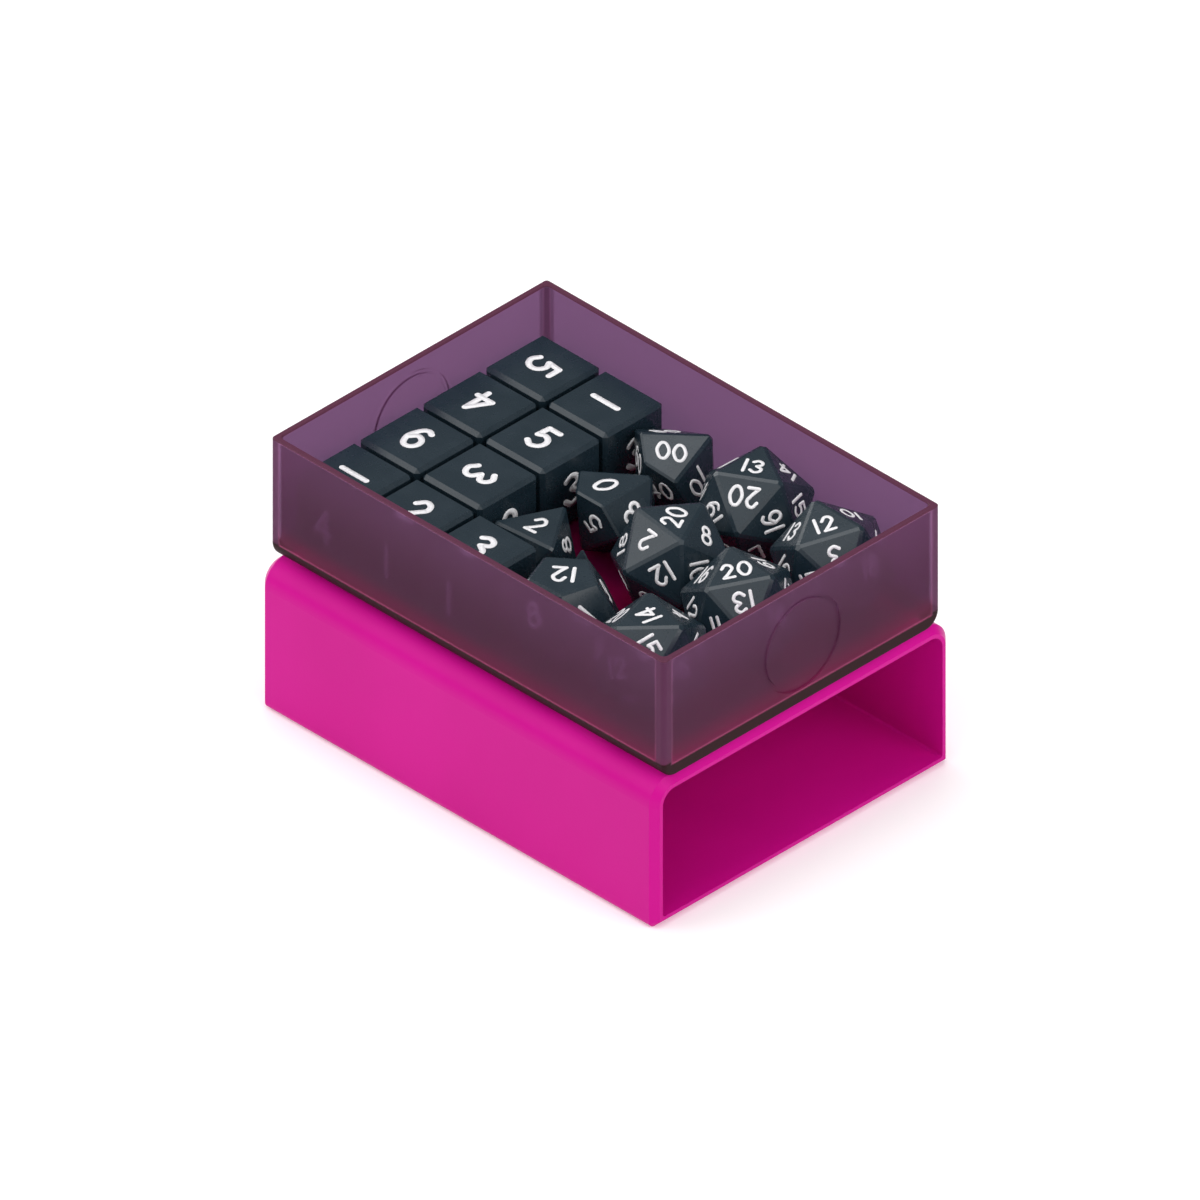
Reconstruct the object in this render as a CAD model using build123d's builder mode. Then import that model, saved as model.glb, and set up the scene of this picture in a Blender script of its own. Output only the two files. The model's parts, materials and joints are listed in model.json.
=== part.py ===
from build123d import *
import os
from itertools import combinations
from math import cos, pi, sin, sqrt

# A dice box in its own frame: a sleeve with open ends lies on the ground, the drawer
# tray stands on top of it, and a set of loose dice lies in the tray.
# The sizes run from the inside out: the dice set the tray, and the tray sets the sleeve.
# Millimetres, +X along the drawer's way, +Z up, origin under the middle of the sleeve.

# Dice
d4_edge = 16.0
d6_size = 15.2
d8_edge = 14.2
d10_girdle = 20.8  # across the zigzag girdle
d10_points = 19.4  # from point to point
d12_edge = 7.9
d20_edge = 12.7
d6_inset = 0.75  # how far the bevels eat into each face of a cube
die_inset = 0.4  # the same on the other dice
cube_gap = 0.95  # room between cubes in their block
die_gap = 0.3  # least room between any two dice, seen from above

# Tray
tray_wall = 1.3
tray_floor = 3.7
tray_end_room = 2.4  # from the dice to the inside of an end wall
tray_side_room = 0.35  # from the dice to the inside of a side wall
tray_head_room = 2.8  # from the tallest die to the rim
tray_edge_radius = 3.4  # long bottom edges, which run in the sleeve's rounded edges
tray_corner_radius = 0.9  # outer edges of the two end walls, upright and along the bottom
tray_inner_radius = 0.8  # corners inside the tray
rim_bevel = 0.25
ring_diameter = 20.0  # plain ring pressed into each end wall
ring_width = 0.9
ring_depth = 0.4

# Sleeve
sleeve_wall = 2.2
slide_gap = 0.45  # between the tray and the sleeve on each side
lid_gap = 0.8  # over the tray's rim when it is pushed in
sleeve_spare = 0.4  # how much longer the sleeve is than the tray
mouth_land = 0.8  # flat left on the sleeve's ends beside the chamfer
foot_ease = 0.2  # how much rounder the bottom edges are than the chamfer is wide
sleeve_inner_foot = 0.6  # inner corners along the bottom

# The block of cubes: rows along the tray, columns across it
cube_rows = 2
cube_columns = 4

# Loose dice: places as shares of the space that one twenty-sided die takes, counted
# from the front of the cube block and from the tray's middle line
loose_place_shares = {
    "d10_die_tens": (0.28, 1.01),
    "d10_die_units": (0.34, 0.50),
    "d8_die": (0.30, -0.41),
    "d4_die": (0.94, -0.32),
    "d12_die": (1.28, -0.92),
    "d20_die_1": (1.05, 1.08),
    "d20_die_2": (2.27, 0.93),
    "d20_die_3": (1.28, -0.03),
    "d20_die_4": (2.21, 0.02),
    "d20_die_5": (2.07, -0.89),
}
# Turn about the upright, then lean in degrees and the heading that the top leans to
loose_turns = {
    "d10_die_tens": (-101, 22, -16),
    "d10_die_units": (-115, 0, 0),
    "d8_die": (35, 0, 0),
    "d4_die": (5, 0, 0),
    "d12_die": (57, 0, 0),
    "d20_die_1": (60, 0, 0),
    "d20_die_2": (-30, 12, -90),
    "d20_die_3": (26, 4, 0),
    "d20_die_4": (-35, 8, -90),
    "d20_die_5": (-46, 3, -90),
}
heading_count = 72
settle_rounds = 400
settle_slack_share = 0.02  # of the least room between dice, where pushing stops
gap_digits = 5  # decimals that gaps are compared by, so that dice settle alike at any scale

golden = (1 + sqrt(5)) / 2
headings = []
for step in range(heading_count):
    headings.append((cos(2 * pi * step / heading_count), sin(2 * pi * step / heading_count)))


def turned_signs(first, second, third):
    """Corners with every sign of three coordinates, in their three cyclic orders."""
    corners = set()
    for x in (-first, first):
        for y in (-second, second):
            for z in (-third, third):
                corners |= {(x, y, z), (y, z, x), (z, x, y)}
    return [Vector(*corner) for corner in sorted(corners)]


def tetrahedron(edge):
    unit = [(1, 1, 1), (1, -1, -1), (-1, 1, -1), (-1, -1, 1)]
    return [Vector(*corner) * (edge / sqrt(8)) for corner in unit]


def cube(size):
    return [corner * (size / 2) for corner in turned_signs(1, 1, 1)]


def octahedron(edge):
    return [corner * (edge / sqrt(2)) for corner in turned_signs(1, 0, 0)]


def trapezohedron(girdle, points):
    """Ten kites: two points and a zigzag girdle that keeps the kites flat."""
    zig = points / 2 * (1 - cos(pi / 5)) / (1 + cos(pi / 5))
    corners = [Vector(0, 0, points / 2), Vector(0, 0, -points / 2)]
    for step in range(10):
        angle = step * pi / 5
        height = zig if step % 2 == 0 else -zig
        corners.append(Vector(girdle / 2 * cos(angle), girdle / 2 * sin(angle), height))
    return corners


def dodecahedron(edge):
    corners = turned_signs(1, 1, 1) + turned_signs(0, 1 / golden, golden)
    return [corner * (edge * golden / 2) for corner in corners]


def icosahedron(edge):
    return [corner * (edge / 2) for corner in turned_signs(0, 1, golden)]


def bevelled(corners, inset):
    """Corners of the faces drawn in from their edges: their hull has flat bevels."""
    drawn_in = []
    for face in ConvexPolyhedron(corners).faces():
        inner = offset(face, -inset, kind=Kind.INTERSECTION)
        drawn_in += [Vector(*vertex) for vertex in inner.vertices()]
    return drawn_in


def laid_down(corners, inset):
    """Bevelled corners as the die lies on a face, with +X towards that face's nearest corner."""
    face = ConvexPolyhedron(corners).faces().sort_by(Axis.Z)[0]
    normal = face.normal_at()
    foot = normal * face.center().dot(normal)
    nearest = Vector(*face.vertices().sort_by_distance(foot)[0])
    lying = Plane(origin=foot, x_dir=nearest - foot, z_dir=-normal)
    return [lying.to_local_coords(corner) for corner in bevelled(corners, inset)]


def posed(corners, turn, lean, heading):
    """Turn a lying die, lean it, and let its lowest corner down to the ground again."""
    upright = Axis.Z
    sideways = Axis((0, 0, 0), Vector(1, 0, 0).rotate(upright, heading + 90))
    middle = Vector(0, 0, max(corner.Z for corner in corners) / 2)
    moved = []
    for corner in corners:
        moved.append((corner.rotate(upright, turn) - middle).rotate(sideways, lean))
    lowest = min(corner.Z for corner in moved)
    return [corner - Vector(0, 0, lowest) for corner in moved]


def reaches(corners):
    """How far a die stretches from its place along each heading, seen from above."""
    spans = []
    for along, across in headings:
        spans.append(max(corner.X * along + corner.Y * across for corner in corners))
    return spans


def room(way, reach_a, reach_b):
    """Widest gap between two dice over all headings, with the heading that shows it."""
    gap_shares = []
    for step, (along, across) in enumerate(headings):
        behind = reach_b[step - heading_count // 2]
        gap = way.X * along + way.Y * across - reach_a[step] - behind
        gap_shares.append((round(gap / die_gap, gap_digits), step))
    gap_share, step = max(gap_shares)
    return gap_share * die_gap, Vector(*headings[step])


def settle(places, shapes, loose):
    """Push loose dice apart until none stands over another, so that each lifts straight out."""
    spans = {name: reaches(corners) for name, corners in shapes.items()}
    pairs = [pair for pair in combinations(places, 2) if set(pair) & set(loose)]
    for _ in range(settle_rounds):
        pushed = False
        for a, b in pairs:
            way = places[b] - places[a]
            if way.length > max(spans[a]) + max(spans[b]) + die_gap:
                continue
            gap, heading = room(way, spans[a], spans[b])
            missing = die_gap - gap
            if missing <= die_gap * settle_slack_share:
                continue
            pushed = True
            share_a = 0.5 if a in loose and b in loose else float(a in loose)
            places[a] -= heading * missing * share_a
            places[b] += heading * missing * (1 - share_a)
        if not pushed:
            break
    return places


# The dice as they lie, each about its own place
lying = {
    "d4": laid_down(tetrahedron(d4_edge), die_inset),
    "d6": laid_down(cube(d6_size), d6_inset),
    "d8": laid_down(octahedron(d8_edge), die_inset),
    "d10": laid_down(trapezohedron(d10_girdle, d10_points), die_inset),
    "d12": laid_down(dodecahedron(d12_edge), die_inset),
    "d20": laid_down(icosahedron(d20_edge), die_inset),
}

shapes = {}
places = {}

# Cubes: a block of rows, and one more cube in front of its last column
cube_pitch = d6_size + cube_gap
cube_spots = []
for row in range(cube_rows):
    for column in range(cube_columns):
        cube_spots.append((row, column))
cube_spots.append((cube_rows, cube_columns - 1))
for number, (row, column) in enumerate(cube_spots, 1):
    name = f"d6_die_{number}"
    shapes[name] = posed(lying["d6"], 45, 0, 0)
    across = (cube_columns - 1) / 2 - column
    places[name] = Vector(row * cube_pitch, across * cube_pitch)
block_front = (cube_rows - 1) * cube_pitch + d6_size / 2

# Loose dice, pushed apart where their places are too close
die_space = 2 * max(reaches(lying["d20"]))
for name, (along_share, across_share) in loose_place_shares.items():
    kind = name.split("_")[0]
    shapes[name] = posed(lying[kind], *loose_turns[name])
    places[name] = Vector(block_front + along_share * die_space, across_share * die_space)
places = settle(places, shapes, loose_place_shares)

# What the dice take up, and the tray around them
spread_x = []
spread_y = []
for name, corners in shapes.items():
    spread_x += [places[name].X + corner.X for corner in corners]
    spread_y += [places[name].Y + corner.Y for corner in corners]
tallest = max(corner.Z for corners in shapes.values() for corner in corners)
middle = Vector((min(spread_x) + max(spread_x)) / 2, (min(spread_y) + max(spread_y)) / 2)

inside_length = max(spread_x) - min(spread_x) + 2 * tray_end_room
inside_width = max(spread_y) - min(spread_y) + 2 * tray_side_room
tray_length = inside_length + 2 * tray_wall
tray_width = inside_width + 2 * tray_wall
tray_height = tray_floor + tallest + tray_head_room

# The sleeve around the tray
mouth_chamfer = sleeve_wall - mouth_land
sleeve_foot_radius = mouth_chamfer + foot_ease
sleeve_inner_radius = tray_edge_radius - slide_gap
sleeve_edge_radius = sleeve_inner_radius + sleeve_wall
sleeve_length = tray_length + sleeve_spare
cavity_width = tray_width + 2 * slide_gap
cavity_height = tray_height + lid_gap
sleeve_width = cavity_width + 2 * sleeve_wall
sleeve_height = cavity_height + 2 * sleeve_wall

os.makedirs("parts", exist_ok=True)

# Sleeve: a tube with two rounded edges on top, open at both ends
with BuildPart() as sleeve:
    with BuildSketch(Plane.YZ) as tube:
        with Locations((0, sleeve_height / 2)):
            Rectangle(sleeve_width, sleeve_height)
        fillet(tube.vertices().group_by(Axis.Y)[-1], sleeve_edge_radius)
        fillet(tube.vertices().group_by(Axis.Y)[0], sleeve_foot_radius)
    extrude(amount=sleeve_length / 2, both=True)
    ends = sleeve.faces().filter_by(Axis.X)
    chamfer(ends.edges(), mouth_chamfer)
    with BuildSketch(Plane.YZ) as bore:
        with Locations((0, sleeve_height / 2)):
            Rectangle(cavity_width, cavity_height)
        fillet(bore.vertices().group_by(Axis.Y)[-1], sleeve_inner_radius)
        fillet(bore.vertices().group_by(Axis.Y)[0], sleeve_inner_foot)
    extrude(amount=sleeve_length / 2, both=True, mode=Mode.SUBTRACT)
sleeve.part.label = "sleeve"
export_step(sleeve.part, "parts/sleeve.step")

# Tray: an open drawer that stands on the sleeve, with a plain ring in each end wall
floor_height = sleeve_height + tray_floor
with BuildPart() as tray:
    with BuildSketch(Plane.YZ) as section:
        with Locations((0, sleeve_height + tray_height / 2)):
            Rectangle(tray_width, tray_height)
        fillet(section.vertices().group_by(Axis.Y)[0], tray_edge_radius)
    extrude(amount=tray_length / 2, both=True)
    ends = tray.faces().filter_by(Axis.X)
    fillet(ends.edges().sort_by(Axis.Z)[:-2], tray_corner_radius)
    with BuildSketch(Plane.XY.offset(floor_height)):
        RectangleRounded(inside_length, inside_width, tray_inner_radius)
    extrude(amount=tray_height - tray_floor, mode=Mode.SUBTRACT)
    rim = tray.faces().sort_by(Axis.Z)[-1]
    chamfer(rim.edges(), rim_bevel)
    for outward in (1, -1):
        end_middle = (outward * tray_length / 2, 0, sleeve_height + tray_height / 2)
        with BuildSketch(Plane(origin=end_middle, x_dir=(0, outward, 0), z_dir=(outward, 0, 0))):
            Circle(ring_diameter / 2)
            Circle(ring_diameter / 2 - ring_width, mode=Mode.SUBTRACT)
        extrude(amount=-ring_depth, mode=Mode.SUBTRACT)
tray.part.label = "tray"
export_step(tray.part, "parts/tray.step")

# Dice, each at its place on the tray's floor
for name, corners in shapes.items():
    spot = places[name] - middle + Vector(0, 0, floor_height)
    with BuildPart() as die:
        ConvexPolyhedron([corner + spot for corner in corners])
    die.part.label = name
    export_step(die.part, f"parts/{name}.step")

print("tray", round(tray_length, 2), round(tray_width, 2), round(tray_height, 2))
print("sleeve", round(sleeve_length, 2), round(sleeve_width, 2), round(sleeve_height, 2))
print("tallest die", round(tallest, 2), "floor at", round(floor_height, 2))
for name, place in places.items():
    print(name, round(place.X - middle.X, 2), round(place.Y - middle.Y, 2))
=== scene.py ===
import json
from math import atan2, cos, pi, radians, sin

import bpy
from mathutils import Matrix, Vector

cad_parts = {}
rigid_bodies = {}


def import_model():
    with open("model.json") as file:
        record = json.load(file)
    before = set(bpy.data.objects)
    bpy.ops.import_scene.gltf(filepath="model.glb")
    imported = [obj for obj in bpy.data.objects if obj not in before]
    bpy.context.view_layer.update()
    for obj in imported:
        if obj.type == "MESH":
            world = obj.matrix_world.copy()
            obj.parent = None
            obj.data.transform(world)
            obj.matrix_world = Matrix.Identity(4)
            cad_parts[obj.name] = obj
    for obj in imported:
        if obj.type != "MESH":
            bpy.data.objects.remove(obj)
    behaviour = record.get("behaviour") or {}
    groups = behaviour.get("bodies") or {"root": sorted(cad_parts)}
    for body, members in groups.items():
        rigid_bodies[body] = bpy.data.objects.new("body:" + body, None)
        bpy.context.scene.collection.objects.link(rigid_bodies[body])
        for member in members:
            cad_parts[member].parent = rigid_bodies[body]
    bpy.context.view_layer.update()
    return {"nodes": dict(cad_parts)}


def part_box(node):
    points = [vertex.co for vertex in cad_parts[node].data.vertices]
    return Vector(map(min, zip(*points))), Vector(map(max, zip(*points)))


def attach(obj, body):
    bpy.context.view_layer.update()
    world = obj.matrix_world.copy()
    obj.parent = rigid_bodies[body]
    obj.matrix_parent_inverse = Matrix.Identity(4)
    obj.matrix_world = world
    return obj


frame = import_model()
nodes = frame["nodes"]
print("frame loaded with", len(nodes), "nodes")


class Wire:
    # a node tree's socket; sums and products of wires add Math nodes
    def __init__(self, tree, socket=None):
        self.tree = tree
        self.socket = socket

    def node(self, kind, settings=None, inputs=None, output=0):
        made = self.tree.nodes.new(kind)
        for name, value in (settings or {}).items():
            setattr(made, name, value)
        for name, value in (inputs or {}).items():
            for one in value if isinstance(value, list) else [value]:
                if isinstance(one, Wire):
                    self.tree.links.new(one.socket, made.inputs[name])
                else:
                    made.inputs[name].default_value = one
        return Wire(self.tree, made.outputs[output]) if len(made.outputs) else made

    def math(self, operation, first, second):
        return self.node("ShaderNodeMath", {"operation": operation}, {0: first, 1: second})

    def __add__(self, other):
        return self.math("ADD", self, other)

    def __sub__(self, other):
        return self.math("SUBTRACT", self, other)

    def __rsub__(self, other):
        return self.math("SUBTRACT", other, self)

    def __mul__(self, other):
        return self.math("MULTIPLY", self, other)

    def __truediv__(self, other):
        return self.math("DIVIDE", self, other)

    __radd__ = __add__
    __rmul__ = __mul__


def newMaterial(name):
    material = bpy.data.materials.new(name)
    material.use_nodes = True
    material.node_tree.nodes.clear()
    return material, Wire(material.node_tree)


softDetail = 3.0
fineDetail = 4.0
noiseMiddle = 0.5


def noise(wire, place, scale, detail=softDetail):
    return wire.node("ShaderNodeTexNoise", {}, {"Vector": place, "Scale": scale, "Detail": detail})


def mixColour(wire, factor, first, second):
    return wire.node("ShaderNodeMix", {"data_type": "RGBA"}, {0: factor, 6: first, 7: second}, output=2)


def ramp(wire, value, low, high):
    return wire.node("ShaderNodeMapRange", {"interpolation_type": "SMOOTHSTEP"},
                     {"Value": value, "From Min": low, "From Max": high})


def grainBump(wire, place, values):
    return wire.node("ShaderNodeBump", {}, {
        "Strength": values["grainStrength"],
        "Distance": values["grainDepth"],
        "Height": noise(wire, place, values["grainScale"]),
    })


def uneven(values, pattern):
    # a finish's roughness, spread about its middle by a noise pattern
    return values["roughness"] + values["roughnessSpread"] * (pattern - noiseMiddle)


# Sleeve: satin magenta plastic with a fine moulded grain
sleeveFinish = {
    "colour": (0.605, 0.0040, 0.268, 1),
    "deepColour": (0.570, 0.0030, 0.248, 1),
    "glossIndex": 1.19,
    "roughness": 0.36,
    "roughnessSpread": 0.10,
    "cloudScale": 22.0,
    "cloudEdges": (0.35, 0.65),
    "scuffScale": 198.0,
    "grainScale": 2400.0,
    "grainDepth": 0.00006,
    "grainStrength": 0.25,
}


def sleevePlastic(values):
    material, wire = newMaterial("sleevePlastic")
    place = wire.node("ShaderNodeTexCoord", output="Object")
    cloud = ramp(wire, noise(wire, place, values["cloudScale"]), *values["cloudEdges"])
    scuff = noise(wire, place, values["scuffScale"], fineDetail)
    surface = wire.node("ShaderNodeBsdfPrincipled", {}, {
        "Base Color": mixColour(wire, cloud, values["colour"], values["deepColour"]),
        "Roughness": uneven(values, scuff),
        "IOR": values["glossIndex"],
        "Normal": grainBump(wire, place, values),
    })
    wire.node("ShaderNodeOutputMaterial", {}, {"Surface": surface})
    return material


# Tray: clear smoky plum plastic under a frosted haze, with painted light making it paler towards the rim, a
# painted glow of the magenta sleeve below making it redder in and above its thick floor, and painted dark
# shade where it is thickest and nearly opaque, at the rim, in the upright corners and along the foot
trayFinish = {
    "clearColour": (0.132, 0.070, 0.146, 1),
    "hazeColour": (0.530, 0.172, 0.360, 1),
    "cloudColour": (0.496, 0.160, 0.334, 1),
    # painted light: the upper walls paler towards the rim
    "topLightColour": (0.730, 0.268, 0.575, 1),
    # painted glow of the magenta sleeve below: redder low on the walls, in and above the floor
    "sleeveGlowColour": (0.860, 0.150, 0.375, 1),
    # painted glow of the magenta sleeve seen through the floor, in the haze and the clear part
    "floorColour": (0.500, 0.012, 0.190, 1),
    # painted shade in the upright corners
    "cornerShadeColour": (0.160, 0.048, 0.114, 1),
    # painted shade along the rim
    "rimShadeColour": (0.104, 0.030, 0.060, 1),
    # painted shade along the foot
    "footShadeColour": (0.022, 0.004, 0.007, 1),
    "hazeShare": 0.10,
    "cornerHaze": 0.5,
    "rimBand": 0.0005,
    "floorBand": 0.0038,
    "floorEdge": 0.0001,
    "sleeveGlowRise": 0.005,
    "topLightFall": 0.016,
    "cornerBand": 0.0018,
    "footBand": 0.0040,
    "footEndBand": 0.0034,
    "footSkin": 0.0016,
    "blend": 0.0007,
    "index": 1.12,
    "glossColour": (0.1, 0.1, 0.1, 1),
    "roughness": 0.34,
    "roughnessSpread": 0.10,
    "hazeRoughness": 0.5,
    "hazeGloss": 0.1,
    "cloudScale": 30.0,
    "grainScale": 1500.0,
    "grainDepth": 0.00005,
    "grainStrength": 0.12,
}


def trayPlastic(values):
    material, wire = newMaterial("trayPlastic")
    low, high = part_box("tray")
    place = wire.node("ShaderNodeTexCoord", output="Object")
    along, across, height = (
        wire.node("ShaderNodeSeparateXYZ", {}, {"Vector": place}, output=axis) for axis in "XYZ")
    cloud = noise(wire, place, values["cloudScale"])
    bump = grainBump(wire, place, values)
    blend = values["blend"]

    def below(level, fade):
        return 1 - ramp(wire, height, low.z + level, low.z + level + fade)

    def near(value, edge, band):
        return ramp(wire, wire.math("ABSOLUTE", value, 0.0), edge - band - blend, edge - band)

    # painted shade along the rim, which the haze also makes nearly opaque
    rimShade = ramp(wire, height, high.z - values["rimBand"], high.z - values["rimBand"] / 2)
    # painted light: paler towards the rim
    top = ramp(wire, height, high.z - values["topLightFall"], high.z)
    # painted glow of the magenta sleeve below, in and just above the floor
    sleeveGlow = below(values["floorBand"], values["sleeveGlowRise"])
    # painted shade in the upright corners, which are also made hazier
    corner = near(along, high.x, values["cornerBand"]) * near(across, high.y, values["cornerBand"])
    endSkin = near(along, high.x, values["footSkin"])
    sideSkin = near(across, high.y, values["footSkin"])
    # painted shade along the foot, which the haze also makes nearly opaque
    footShade = wire.math("MAXIMUM", below(values["footBand"] - blend, blend) * sideSkin,
                     below(values["footEndBand"] - blend, blend) * endSkin)
    # painted glow of the magenta sleeve seen through the inner floor
    floor = below(values["floorBand"], values["floorEdge"]) * (1 - wire.math("MAXIMUM", endSkin, sideSkin))
    shade = mixColour(wire, cloud, values["hazeColour"], values["cloudColour"])
    zones = {"topLightColour": top, "sleeveGlowColour": sleeveGlow, "floorColour": floor,
             "cornerShadeColour": corner, "rimShadeColour": rimShade, "footShadeColour": footShade}
    for colour, zone in zones.items():
        shade = mixColour(wire, zone, shade, values[colour])
    haze = wire.node("ShaderNodeBsdfPrincipled", {}, {
        "Base Color": shade,
        "Roughness": values["hazeRoughness"],
        "Specular IOR Level": values["hazeGloss"],
        "Normal": bump,
    })
    # its tint also takes the painted magenta glow over the floor
    clear = wire.node("ShaderNodeBsdfPrincipled", {}, {
        "Base Color": mixColour(wire, floor, values["clearColour"], values["floorColour"]),
        "Roughness": uneven(values, cloud),
        "Transmission Weight": 1.0,
        "IOR": values["index"],
        "Specular Tint": values["glossColour"],
        "Normal": bump,
    })
    # nearly opaque where the painted shade lies, at the rim, the foot and the upright corners
    thickAndShaded = wire.math("MAXIMUM", wire.math("MAXIMUM", rimShade, footShade), corner * values["cornerHaze"])
    share = values["hazeShare"] + (1 - values["hazeShare"]) * thickAndShaded
    surface = wire.node("ShaderNodeMixShader", {}, {0: share, 1: clear, 2: haze})
    wire.node("ShaderNodeOutputMaterial", {}, {"Surface": surface})
    return material


# Dice: dark slate plastic, polished, with faint clouds of the pigment
diceFinish = {
    "colour": (0.011, 0.023, 0.033, 1),
    "cloudColour": (0.015, 0.028, 0.039, 1),
    "roughness": 0.27,
    "roughnessSpread": 0.14,
    "cloudScale": 130.0,
    "cloudEdges": (0.4, 0.7),
    "smearScale": 420.0,
    "grainScale": 1800.0,
    "grainDepth": 0.00003,
    "grainStrength": 0.15,
}


def dicePlastic(values):
    material, wire = newMaterial("dicePlastic")
    place = wire.node("ShaderNodeTexCoord", output="Object")
    cloud = ramp(wire, noise(wire, place, values["cloudScale"], fineDetail), *values["cloudEdges"])
    smear = noise(wire, place, values["smearScale"])
    surface = wire.node("ShaderNodeBsdfPrincipled", {}, {
        "Base Color": mixColour(wire, cloud, values["colour"], values["cloudColour"]),
        "Roughness": uneven(values, smear),
        "Normal": grainBump(wire, place, values),
    })
    wire.node("ShaderNodeOutputMaterial", {}, {"Surface": surface})
    return material


# White paint in the numbers
paintFinish = {
    "colour": (0.86, 0.85, 0.87, 1),
    "thinColour": (0.70, 0.70, 0.73, 1),
    "roughness": 0.5,
    "roughnessSpread": 0.2,
    "patchScale": 700.0,
    "patchEdges": (0.55, 0.8),
    "grainScale": 2500.0,
    "grainDepth": 0.00002,
    "grainStrength": 0.2,
}


def numberPaint(values):
    material, wire = newMaterial("numberPaint")
    place = wire.node("ShaderNodeTexCoord", output="Object")
    patch = noise(wire, place, values["patchScale"])
    thin = ramp(wire, patch, *values["patchEdges"])
    surface = wire.node("ShaderNodeBsdfPrincipled", {}, {
        "Base Color": mixColour(wire, thin, values["colour"], values["thinColour"]),
        "Roughness": uneven(values, patch),
        "Normal": grainBump(wire, place, values),
    })
    wire.node("ShaderNodeOutputMaterial", {}, {"Surface": surface})
    return material


sleeveMaterial = sleevePlastic(sleeveFinish)
trayMaterial = trayPlastic(trayFinish)
diceMaterial = dicePlastic(diceFinish)
paintMaterial = numberPaint(paintFinish)
for name, node in nodes.items():
    finish = {"sleeve": sleeveMaterial, "tray": trayMaterial}.get(name, diceMaterial)
    for materialSlot in node.material_slots:
        materialSlot.material = finish
nodes["tray"].visible_shadow = False  # the clear tray lets the lamps' light through to the dice
print("materials given to the CAD nodes")


# Strokes of the digits, in digit heights about the middle; a closed stroke repeats its first point
digitStrokes = {
    "0": [[(0, 0.5), (0.27, 0.2), (0.27, -0.2), (0, -0.5), (-0.27, -0.2), (-0.27, 0.2), (0, 0.5)]],
    "1": [[(0, 0.5), (0, -0.5)]],
    "2": [[(-0.27, 0.24), (-0.02, 0.5), (0.25, 0.24), (0.1, -0.06), (-0.27, -0.5)],
          [(-0.27, -0.5), (0.28, -0.5)]],
    "3": [[(-0.25, 0.37), (0, 0.5), (0.24, 0.27), (-0.02, 0.04)],
          [(-0.02, 0.04), (0.28, -0.22), (0, -0.5), (-0.28, -0.34)]],
    "4": [[(0.13, -0.5), (0.13, 0.5)], [(0.13, 0.5), (-0.3, -0.22)], [(-0.3, -0.22), (0.3, -0.22)]],
    "5": [[(0.24, 0.5), (-0.2, 0.5)], [(-0.2, 0.5), (-0.24, 0.04)],
          [(-0.24, 0.04), (0.02, 0.13), (0.28, -0.18), (0, -0.5), (-0.27, -0.37)]],
    "6": [[(0.2, 0.42), (0, 0.5), (-0.25, 0.15), (-0.27, -0.2),
           (0, -0.5), (0.27, -0.2), (0, 0.1), (-0.26, -0.12)]],
    "7": [[(-0.27, 0.5), (0.28, 0.5)], [(0.28, 0.5), (-0.08, -0.5)]],
    "8": [[(0, 0.5), (0.22, 0.28), (0, 0.05), (-0.22, 0.28), (0, 0.5)],
          [(0, 0.05), (0.28, -0.22), (0, -0.5), (-0.28, -0.22), (0, 0.05)]],
    "9": [[(-0.2, -0.42), (0, -0.5), (0.25, -0.15), (0.27, 0.2),
           (0, 0.5), (-0.27, 0.2), (0, -0.1), (0.26, 0.12)]],
}
digitHalves = {"1": 0.04}  # half a digit's width, where it isn't the usual one
usualHalf = 0.28
digitSpace = 0.30  # between two digits of a number
pointRise = 0.0008  # of each point over the one before, so that no two crossing strokes share a plane
strokeSteps = 5  # along a curve from point to point


def strokeCurve(name, strokes):
    curve = bpy.data.curves.new(name, "CURVE")
    curve.dimensions = "3D"
    curve.twist_mode = "Z_UP"
    curve.resolution_u = strokeSteps
    rise = 0
    for points in strokes:
        closed = points[0] == points[-1]
        kept = points[:-1] if closed else points
        spline = curve.splines.new("BEZIER")
        spline.bezier_points.add(len(kept) - 1)
        spline.use_cyclic_u = closed
        for bezier, (x, y) in zip(spline.bezier_points, kept):
            bezier.co = (x, y, rise)
            rise += pointRise
            kind = "VECTOR" if len(kept) == 2 else "AUTO"
            bezier.handle_left_type = kind
            bezier.handle_right_type = kind
    return bpy.data.objects.new(name, curve)


digitShelf = bpy.data.collections.new("digitShelf")
for digit, strokes in digitStrokes.items():
    digitShelf.objects.link(strokeCurve("digit" + digit, strokes))


# Painted numbers: sizes of the digits and their paint, and the way up as the camera sees it
numberLook = {
    "heights": {"d4": 0.0034, "d6": 0.0061, "d8": 0.0042, "d10": 0.0043, "d12": 0.0042, "d20": 0.0036},
    "tensHeight": 0.0036,
    "strokeShare": 0.18,
    "cubeStrokeShare": 0.20,
    "cornerShare": 0.45,
    "paintDepth": 0.00006,
    "liftShare": 0.25,
    "capDepthShare": 0.85,
    "capCorners": 12,
    "upright": (-0.4056, 0.4056, 0.8192),
}


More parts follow.
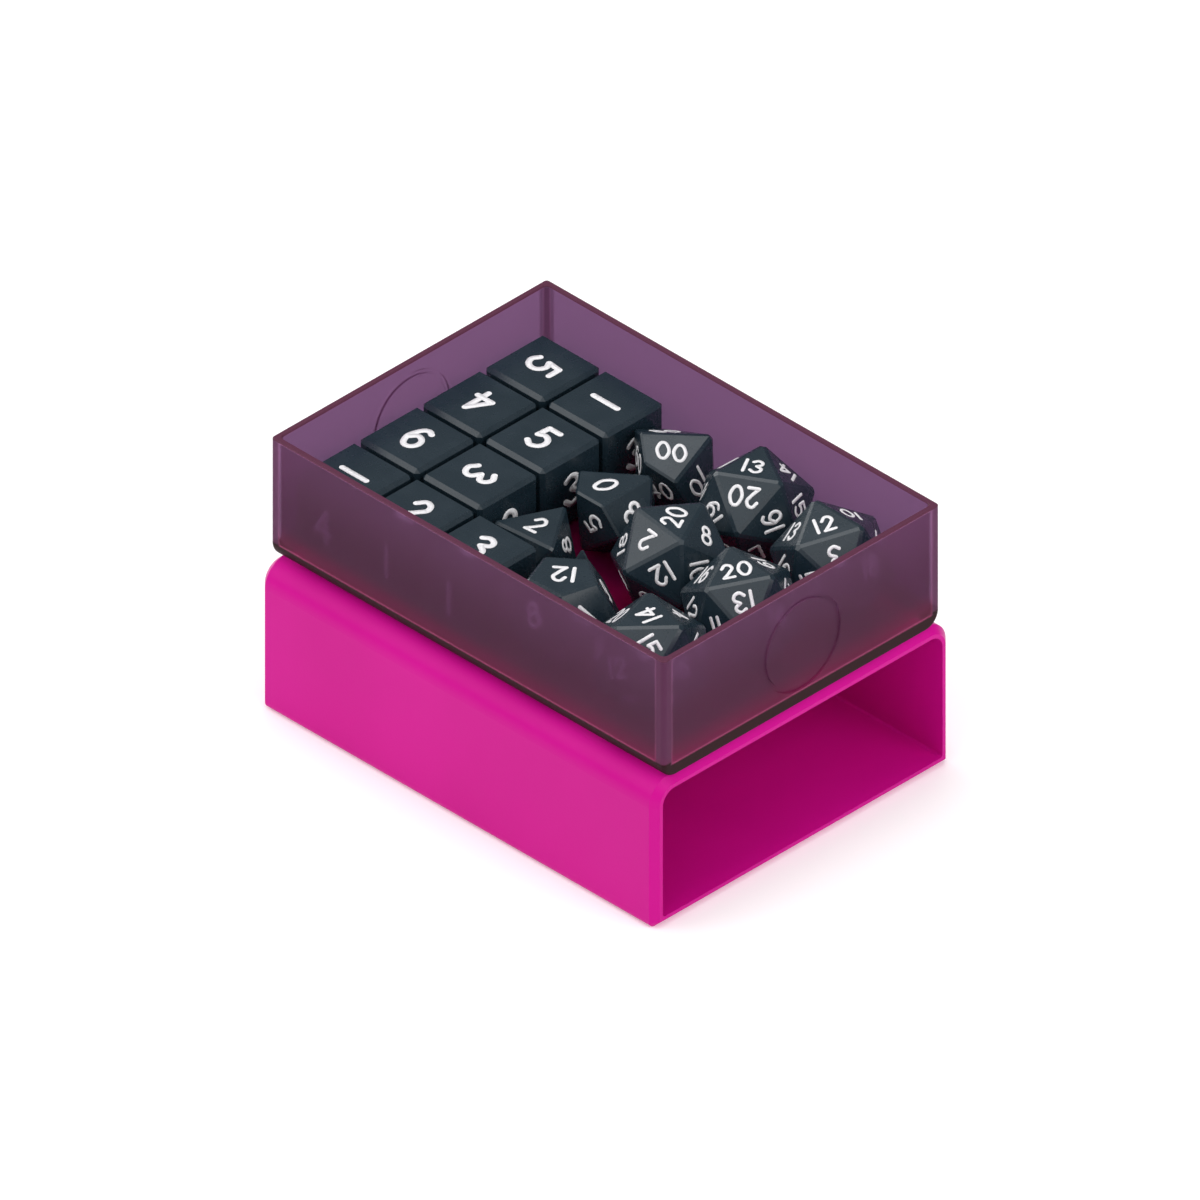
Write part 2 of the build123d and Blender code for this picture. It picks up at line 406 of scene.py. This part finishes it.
def numberTree():
    tree = bpy.data.node_groups.new("numberInlay", "GeometryNodeTree")
    inputs = {"Spots": "Geometry", "Digits": "Collection", "Digit Height": "Float",
              "Stroke Width": "Float", "Paint Depth": "Float", "Paint": "Material"}
    for name, kind in inputs.items():
        tree.interface.new_socket(name, in_out="INPUT", socket_type="NodeSocket" + kind)
    tree.interface.new_socket("Numbers", in_out="OUTPUT", socket_type="NodeSocketGeometry")
    wire = Wire(tree)
    entry = tree.nodes.new("NodeGroupInput")
    given = {socket.name: Wire(tree, socket) for socket in entry.outputs}
    width = given["Stroke Width"] / given["Digit Height"]
    depth = given["Paint Depth"] / given["Digit Height"]
    strokes = wire.node("GeometryNodeCollectionInfo", {}, {
        "Collection": given["Digits"], "Separate Children": True, "Reset Children": True})
    band = wire.node("GeometryNodeCurvePrimitiveQuadrilateral", {}, {0: width, 1: depth})
    ribbons = wire.node("GeometryNodeCurveToMesh", {}, {
        "Curve": strokes, "Profile Curve": band, "Fill Caps": True})
    disc = wire.node("GeometryNodeMeshCylinder", {}, {
        "Vertices": numberLook["capCorners"],
        "Radius": width / 2,
        "Depth": depth * numberLook["capDepthShare"],
    })
    ends = wire.node("GeometryNodeCurveEndpointSelection")
    caps = wire.node("GeometryNodeInstanceOnPoints", {}, {
        "Points": strokes, "Selection": ends, "Instance": disc})
    outward, upward, digit = (
        wire.node("GeometryNodeInputNamedAttribute", {"data_type": kind}, {"Name": name})
        for name, kind in (("outward", "FLOAT_VECTOR"), ("upward", "FLOAT_VECTOR"), ("digit", "INT")))
    turn = wire.node("FunctionNodeAxesToRotation", {"primary_axis": "Z", "secondary_axis": "Y"},
                     {"Primary Axis": outward, "Secondary Axis": upward})
    laid = [wire.node("GeometryNodeInstanceOnPoints", {}, {
        "Points": given["Spots"], "Instance": shapes, "Pick Instance": True, "Instance Index": digit,
        "Rotation": turn, "Scale": given["Digit Height"]}) for shapes in (ribbons, caps)]
    joined = wire.node("GeometryNodeJoinGeometry", {}, {"Geometry": laid})
    solid = wire.node("GeometryNodeRealizeInstances", {}, {"Geometry": joined})
    painted = wire.node("GeometryNodeSetMaterial", {}, {"Geometry": solid, "Material": given["Paint"]})
    wire.node("NodeGroupOutput", {}, {"Numbers": painted})
    return tree


# Which numbers the dice show. Each reading is the number, the azimuth and height of the face it is on, and
# how far it is turned from upright; the faces that are left take the numbers that are left.
faceCounts = {"d4": 4, "d6": 6, "d8": 8, "d10": 10, "d12": 12, "d20": 20}
turnRules = {"d6": "edge", "d10": "free"}  # what a number's top points to; a corner on the other dice
cubeTops = {  # number on top, its turn, and the number on the side towards -Y
    "d6_die_1": (5, -135, 1), "d6_die_2": (4, 135, 1), "d6_die_3": (6, -45, 2),
    "d6_die_4": (1, 45, 4), "d6_die_5": (1, 45, 2), "d6_die_6": (5, -45, 1),
    "d6_die_7": (3, -135, 1), "d6_die_8": (2, -45, 1), "d6_die_9": (3, -45, 1),
}
dieReadings = {
    "d10_die_tens": [("00", -16, 68, -12), ("80", 130, 60, 0), ("70", 10, 21, -120)],
    "d10_die_units": [("0", 0, 90, -65), ("8", 2, 40, -30), ("6", 40, 4, 0), ("5", -90, -4, 110)],
    "d8_die": [("2", 0, 90, -20), ("8", 35, 20, 60)],
    "d12_die": [("12", 0, 90, 200), ("11", -15, 27, 30)],
    "d20_die_1": [("13", 0, 90, 0), ("20", -60, 48, 180), ("16", -22, 20, 60), ("14", 60, 48, 60),
                  ("15", 22, 20, -110), ("19", -98, 20, 60)],
    "d20_die_2": [("12", -90, 78, 0), ("3", -40, 41, 180), ("10", 90, 60, 180), ("11", 49, 29, -90),
                  ("13", -140, 41, 60)],
    "d20_die_3": [("20", 0, 86, 45), ("2", -90, 48, 180), ("8", 24, 45, -30), ("12", -55, 17, 180),
                  ("10", -12, 16, -20), ("18", -131, 22, 90)],
    "d20_die_4": [("20", -90, 82, 0), ("16", -148, 44, 60), ("13", -42, 43, 180), ("19", 84, 56, -60)],
    "d20_die_5": [("14", -90, 87, 150), ("15", -48, 46, -30), ("4", 73, 51, -60)],
}


def headed(azimuth, elevation):
    a, e = radians(azimuth), radians(elevation)
    return Vector((cos(a) * cos(e), sin(a) * cos(e), sin(e)))


sameWay = 0.9995  # least cosine between triangles of one face
cornerDigits = 6
middleDigits = 5
wayDigits = 3


def faceOrder(face):
    # from the lowest face up, and round the die at one height
    way = face["outward"]
    return round(way.z, wayDigits), round(atan2(way.y, way.x), wayDigits)


def dieFaces(name):
    # the die's main faces, from its CAD mesh: outward direction, middle and corners
    mesh = nodes[name].data
    groups = []
    for polygon in mesh.polygons:
        found = next((g for g in groups if g["outward"].normalized().dot(polygon.normal) > sameWay), None)
        if found is None:
            found = {"outward": Vector(), "area": 0, "sum": Vector(), "corners": {}}
            groups.append(found)
        found["outward"] += polygon.area * polygon.normal
        found["area"] += polygon.area
        found["sum"] += polygon.area * polygon.center
        for index in polygon.vertices:
            corner = mesh.vertices[index].co
            found["corners"][tuple(round(value, cornerDigits) for value in corner)] = corner
    groups.sort(key=lambda g: -g["area"])
    faces = groups[:faceCounts[name.split("_")[0]]]
    for face in faces:
        face["outward"].normalize()
        face["middle"] = face["sum"] / face["area"]
    return sorted(faces, key=faceOrder)


def upDirection(face, turn, rule):
    # the way to the corner, or to the edge between two corners, that is nearest to the turn;
    # on a free face it is the turn itself
    outward = face["outward"]
    wanted = Vector(numberLook["upright"])
    wanted = Matrix.Rotation(radians(turn), 3, outward) @ (wanted - wanted.dot(outward) * outward)
    if rule == "free":
        return wanted.normalized()
    ways = [(corner - face["middle"]).normalized() for corner in face["corners"].values()]
    if rule == "edge":
        ways = [Matrix.Rotation(pi / len(ways), 3, outward) @ way for way in ways]
    return max(ways, key=lambda way: way.dot(wanted))


def cubeReadings(name):
    top, turn, front = cubeTops[name]
    right = next(n for n in range(1, 7) if n not in (top, 7 - top, front, 7 - front))
    return [(str(top), 0, 90, turn), (str(7 - top), 0, -90, turn), (str(front), -90, 0, 0),
            (str(7 - front), 90, 0, 0), (str(right), 0, 0, 0), (str(7 - right), 180, 0, 0)]


def cornerNumbers(faces):
    # a four-sided die has three numbers on each face, one in each corner, named for the face opposite
    points = sorted({tuple(round(value, middleDigits) for value in face["middle"]) for face in faces})
    found = []
    for face in faces:
        for corner in face["corners"].values():
            reach = corner - face["middle"]
            opposite = min(points, key=lambda point: (Vector(point) - corner).dot(reach))
            spot = face["middle"] + numberLook["cornerShare"] * reach
            found.append((str(points.index(opposite) + 1), face, reach.normalized(), spot))
    return found


def dieNumbers(name):
    # every number of a die, with its face, the way it reads and its middle
    kind = name.split("_")[0]
    faces = dieFaces(name)
    if kind == "d4":
        return cornerNumbers(faces)
    readings = cubeReadings(name) if kind == "d6" else dieReadings[name]
    found = []
    left = list(faces)
    for number, azimuth, elevation, turn in readings:
        way = headed(azimuth, elevation)
        face = max(left, key=lambda f: f["outward"].dot(way))
        left.remove(face)
        found.append((number, face, upDirection(face, turn, turnRules.get(kind)), face["middle"]))
    first = 0 if kind == "d10" else 1
    every = range(first, first + faceCounts[kind])
    names = [f"{n}0" if name == "d10_die_tens" else str(n) for n in every]
    taken = {reading[0] for reading in found}
    for number, face in zip([n for n in names if n not in taken], left):
        found.append((number, face, upDirection(face, 0, None), face["middle"]))
    return found


def digitSpots(name, height, lift):
    # one vertex for each digit, with its digit and its directions as attributes
    places, digits, outwards, upwards = [], [], [], []
    for number, face, up, middle in dieNumbers(name):
        right = up.cross(face["outward"])
        halves = [digitHalves.get(digit, usualHalf) for digit in number]
        across = -(2 * sum(halves) + digitSpace * (len(number) - 1)) / 2
        for digit, half in zip(number, halves):
            places.append(middle + right * (across + half) * height + face["outward"] * lift)
            digits.append(int(digit))
            outwards += list(face["outward"])
            upwards += list(up)
            across += 2 * half + digitSpace
    mesh = bpy.data.meshes.new(name + "_spots")
    mesh.from_pydata(places, [], [])
    mesh.attributes.new("digit", "INT", "POINT").data.foreach_set("value", digits)
    mesh.attributes.new("outward", "FLOAT_VECTOR", "POINT").data.foreach_set("vector", outwards)
    mesh.attributes.new("upward", "FLOAT_VECTOR", "POINT").data.foreach_set("vector", upwards)
    return bpy.data.objects.new(name + "_spots", mesh)


def bakeNumbers(name, tree):
    kind = name.split("_")[0]
    height = numberLook["tensHeight"] if name == "d10_die_tens" else numberLook["heights"][kind]
    width = height * numberLook["cubeStrokeShare" if kind == "d6" else "strokeShare"]
    spots = digitSpots(name, height, numberLook["paintDepth"] * numberLook["liftShare"])
    bpy.context.scene.collection.objects.link(spots)
    modifier = spots.modifiers.new("numberInlay", "NODES")
    modifier.node_group = tree
    values = {"Digits": digitShelf, "Digit Height": height, "Stroke Width": width,
              "Paint Depth": numberLook["paintDepth"], "Paint": paintMaterial}
    for item in tree.interface.items_tree:
        if item.name in values:
            modifier[item.identifier] = values[item.name]
    evaluated = spots.evaluated_get(bpy.context.evaluated_depsgraph_get())
    mesh = bpy.data.meshes.new_from_object(evaluated)
    bpy.data.objects.remove(spots)
    numbers = bpy.data.objects.new(name + "_numbers", mesh)
    bpy.context.scene.collection.objects.link(numbers)
    return numbers


inlayTree = numberTree()
for name in nodes:
    if name.split("_")[0] in faceCounts:
        numbers = bakeNumbers(name, inlayTree)
        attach(numbers, name)
for digitCurve in list(digitShelf.objects):
    bpy.data.objects.remove(digitCurve)
bpy.data.collections.remove(digitShelf)
print("numbers laid on the dice")


# Floor, light and camera
studio = {
    "floorColour": (0.95, 0.95, 0.95, 1),
    "floorRoughness": 0.9,
    "floorGlow": 0.18,
    "floorHalf": 3.0,
    "underlayDrop": 0.15,
    "underlayGlow": 1.0,
    "glowColour": (1, 1, 1, 1),
    "worldStrength": 0.22,
    "cameraTarget": (-0.00068, -0.00068, 0.02972),
    "cameraWay": (0.5792, -0.5792, 0.5736),
    "cameraWidth": 0.21818,
    "cameraAway": 0.6,
    "cameraClip": (0.01, 10),
}
lamps = {  # azimuth, elevation, distance, size and power
    "softbox": (-58, 54, 1.5, 2.4, 13.7),
    "overhead": (135, 76, 1.4, 1.1, 6.9),
    "mouthFill": (8, 32, 1.2, 0.9, 4.9),
    "leftFill": (-134, 34, 1.2, 0.9, 3.7),
    "backFill": (178, 12, 1.2, 0.7, 4.0),
}


def paleSheet(name, height, glow):
    half = studio["floorHalf"]
    corners = [(-half, -half, height), (half, -half, height), (half, half, height), (-half, half, height)]
    mesh = bpy.data.meshes.new(name)
    mesh.from_pydata(corners, [], [(0, 1, 2, 3)])
    sheet = bpy.data.objects.new(name, mesh)
    bpy.context.scene.collection.objects.link(sheet)
    material, wire = newMaterial("pale" + name.capitalize())
    surface = wire.node("ShaderNodeBsdfPrincipled", {}, {
        "Base Color": studio["floorColour"],
        "Roughness": studio["floorRoughness"],
        "Specular IOR Level": 0.0,
        "Emission Color": studio["glowColour"],
        "Emission Strength": glow,
    })
    wire.node("ShaderNodeOutputMaterial", {}, {"Surface": surface})
    mesh.materials.append(material)


def buildFloor():
    # the underlay keeps low views white where their lower edge lies under the floor
    paleSheet("floor", 0, studio["floorGlow"])
    paleSheet("underlay", -studio["underlayDrop"], studio["underlayGlow"])


def buildLights():
    world = bpy.data.worlds.new("studioWorld")
    world.use_nodes = True
    backdrop = world.node_tree.nodes["Background"]
    backdrop.inputs["Color"].default_value = studio["glowColour"]
    backdrop.inputs["Strength"].default_value = studio["worldStrength"]
    bpy.context.scene.world = world
    for name, (azimuth, elevation, away, size, power) in lamps.items():
        light = bpy.data.lights.new(name, "AREA")
        light.shape = "DISK"
        light.size = size
        light.energy = power
        lamp = bpy.data.objects.new(name, light)
        way = headed(azimuth, elevation)
        lamp.location = way * away
        lamp.rotation_euler = (-way).to_track_quat("-Z", "Y").to_euler()
        bpy.context.scene.collection.objects.link(lamp)


def buildCamera():
    camera = bpy.data.objects.new("camera", bpy.data.cameras.new("camera"))
    way = Vector(studio["cameraWay"]).normalized()
    camera.data.type = "ORTHO"
    camera.data.ortho_scale = studio["cameraWidth"]
    camera.data.clip_start, camera.data.clip_end = studio["cameraClip"]
    camera.location = Vector(studio["cameraTarget"]) + way * studio["cameraAway"]
    camera.rotation_euler = (-way).to_track_quat("-Z", "Y").to_euler()
    bpy.context.scene.collection.objects.link(camera)
    bpy.context.scene.camera = camera


buildFloor()
buildLights()
buildCamera()
bpy.context.scene.view_settings.view_transform = "Standard"
print("studio ready")
